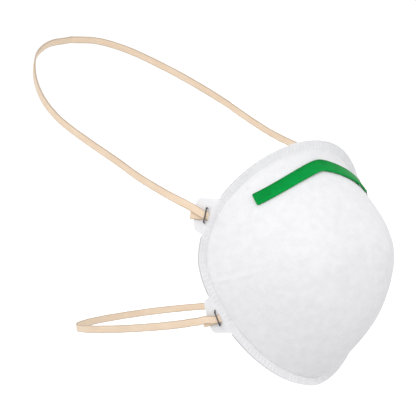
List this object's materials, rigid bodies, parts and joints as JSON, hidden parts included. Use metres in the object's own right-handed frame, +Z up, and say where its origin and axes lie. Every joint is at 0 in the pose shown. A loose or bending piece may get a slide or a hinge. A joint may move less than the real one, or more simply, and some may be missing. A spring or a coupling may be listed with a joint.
{
  "type": "disposable dust mask",
  "caption": "Moulded cup dust mask with a welded flange, a bendable nose strip, inner foam and elastic head straps stapled to side tabs.",
  "frame": {"origin": "middle of the face opening, level with the flange at the cheeks", "axes": "+Z up toward the wearer's forehead, +Y out of the face opening toward the face, +X to the wearer's left, and the cup bulges toward -Y"},
  "size_m": [0.1414, 0.2458, 0.1905],
  "materials": {
    "white_nonwoven": "matte fuzzy nonwoven",
    "filter_felt": "matte felt",
    "support_fibre": "matte stiffened fibre",
    "lining_nonwoven": "matte smooth nonwoven",
    "nose_strip_green": "satin paint",
    "nose_foam_grey": "matte open foam",
    "strap_elastic": "smooth elastic band",
    "staple_steel": "bright wire"
  },
  "bodies": {
    "mask": {"outer_cover": "white_nonwoven", "filter_layer": "filter_felt", "support_shell": "support_fibre", "inner_lining": "lining_nonwoven", "nose_strip": "nose_strip_green", "nose_foam": "nose_foam_grey", "upper_strap_end_left": "strap_elastic", "upper_strap_end_right": "strap_elastic", "lower_strap_end_left": "strap_elastic", "lower_strap_end_right": "strap_elastic", "upper_staple_left": "staple_steel", "upper_staple_right": "staple_steel", "lower_staple_left": "staple_steel", "lower_staple_right": "staple_steel"},
    "upper_strap_body": {"upper_strap": "strap_elastic"},
    "lower_strap_body": {"lower_strap": "strap_elastic"}
  },
  "joints": [
    {"name": "upper_strap_swing", "type": "hinge", "parent": "mask", "child": "upper_strap_body", "pos_m": [0, 0.009, 0.0318], "axis": [1, 0, 0], "range_deg": [-45, 110]},
    {"name": "lower_strap_swing", "type": "hinge", "parent": "mask", "child": "lower_strap_body", "pos_m": [0, 0.0039, -0.0309], "axis": [1, 0, 0], "range_deg": [-110, 60]}
  ]
}
